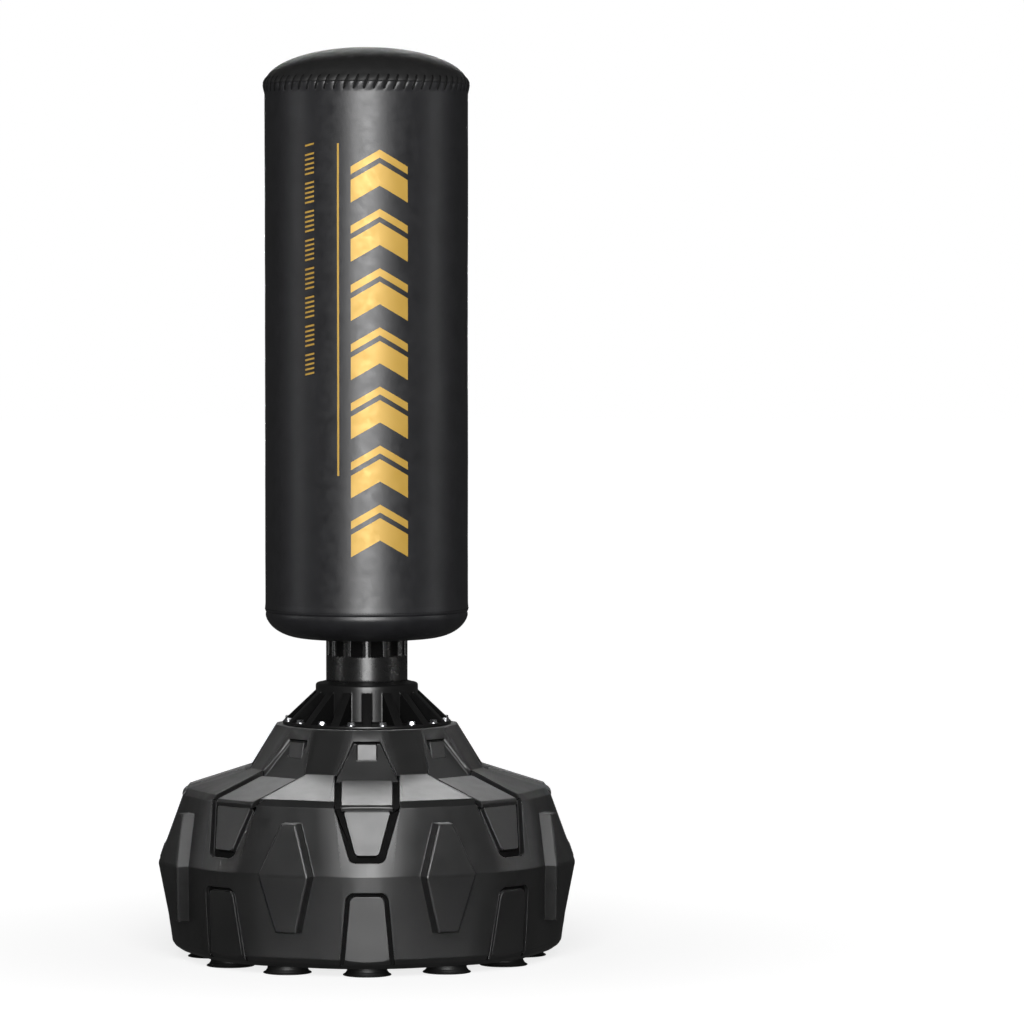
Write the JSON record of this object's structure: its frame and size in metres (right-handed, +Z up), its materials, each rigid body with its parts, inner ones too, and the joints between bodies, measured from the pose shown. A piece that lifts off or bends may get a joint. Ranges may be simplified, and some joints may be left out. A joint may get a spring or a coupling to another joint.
{
  "type": "free-standing punching bag",
  "caption": "Free-standing punching bag: fillable tread-patterned floor base, finned rubber damper over springs, and a tall laced leather bag on a steel mast.",
  "frame": {"origin": "on the floor under the centre of the base", "axes": "+Z up, along the mast; the front, with the print, faces -Y; the fill cap and the zip face +Y"},
  "size_m": [0.7536, 0.7536, 1.65],
  "materials": {
    "tank_plastic": "satin moulded polyethylene, black",
    "cup_rubber": "soft black rubber",
    "seal_rubber": "dark grey rubber",
    "cap_plastic": "moulded black plastic",
    "plate_steel": "black powder coat",
    "bolt_zinc": "bright zinc plate",
    "spring_steel": "black oxide",
    "damper_rubber": "glossy black moulded rubber",
    "core_rubber": "black rubber",
    "neck_rubber": "glossy black moulded rubber",
    "tube_plastic": "pale grey pipe",
    "spacer_plastic": "grey plastic",
    "support_wood": "plywood",
    "foam": "white closed-cell foam",
    "buffer_felt": "grey felt",
    "cover_leather": "black synthetic leather, semi-gloss",
    "top_leather": "black synthetic leather, matt",
    "lace_leather": "black lace",
    "zip_fabric": "black woven tape",
    "zip_metal": "dark nickel"
  },
  "bodies": {
    "base": {"base_tank": "tank_plastic", "suction_cups": "cup_rubber", "lower_plate": "plate_steel", "plate_bolts": "bolt_zinc", "lower_spring_seats": "plate_steel", "cone_lower": "damper_rubber", "cone_washers": "bolt_zinc", "cone_bolts": "bolt_zinc"},
    "cap_gasket": {"cap_seal": "seal_rubber"},
    "cap": {"fill_cap": "cap_plastic"},
    "damper": {"springs": "spring_steel", "damper_core": "core_rubber"},
    "bag": {"cone_upper": "damper_rubber", "upper_plate": "plate_steel", "upper_spring_seats": "plate_steel", "mast_tube": "plate_steel", "mast_plug": "spacer_plastic", "neck_collar": "neck_rubber", "support_disc": "support_wood", "inner_tube": "tube_plastic", "tube_spacers": "spacer_plastic", "foam_core": "foam", "buffer_layer": "buffer_felt", "top_pad": "foam", "cover_bottom": "cover_leather", "cover_body": "cover_leather", "cover_top": "top_leather", "top_lacing": "lace_leather", "zip_tape": "zip_fabric", "zip_teeth": "zip_metal"},
    "zip_runner": {"zip_slider": "zip_metal"},
    "zip_tab": {"zip_pull": "zip_metal"}
  },
  "joints": [
    {"name": "cap_lift", "type": "slide", "parent": "base", "child": "cap_gasket", "axis": [0, 0, 1], "range_m": [0, 0.01]},
    {"name": "cap_turn", "type": "hinge", "parent": "cap_gasket", "child": "cap", "pos_m": [0, 0.268, 0.347], "axis": [0, 0, 1], "range_deg": [0, 900]},
    {"name": "lean_fore_aft", "type": "hinge", "parent": "base", "child": "damper", "pos_m": [0, 0, 0.462], "axis": [1, 0, 0], "range_deg": [-15, 15], "stiffness_Nm_per_rad": 1500, "deforming": ["springs", "damper_core", "cone_lower", "cone_upper"]},
    {"name": "lean_side", "type": "hinge", "parent": "damper", "child": "bag", "pos_m": [0, 0, 0.462], "axis": [0, 1, 0], "range_deg": [-15, 15], "stiffness_Nm_per_rad": 1500, "deforming": ["springs", "damper_core", "cone_lower", "cone_upper"]},
    {"name": "zip_run", "type": "slide", "parent": "bag", "child": "zip_runner", "axis": [0, 0, 1], "range_m": [-0.885, 0]},
    {"name": "zip_tab_swing", "type": "hinge", "parent": "zip_runner", "child": "zip_tab", "pos_m": [0, 0.1925, 1.545], "axis": [1, 0, 0], "range_deg": [0, 170]}
  ],
  "couplings": [
    {"joint": "cap_lift", "follows": "cap_turn", "m_per_rad": 0.00063662}
  ]
}
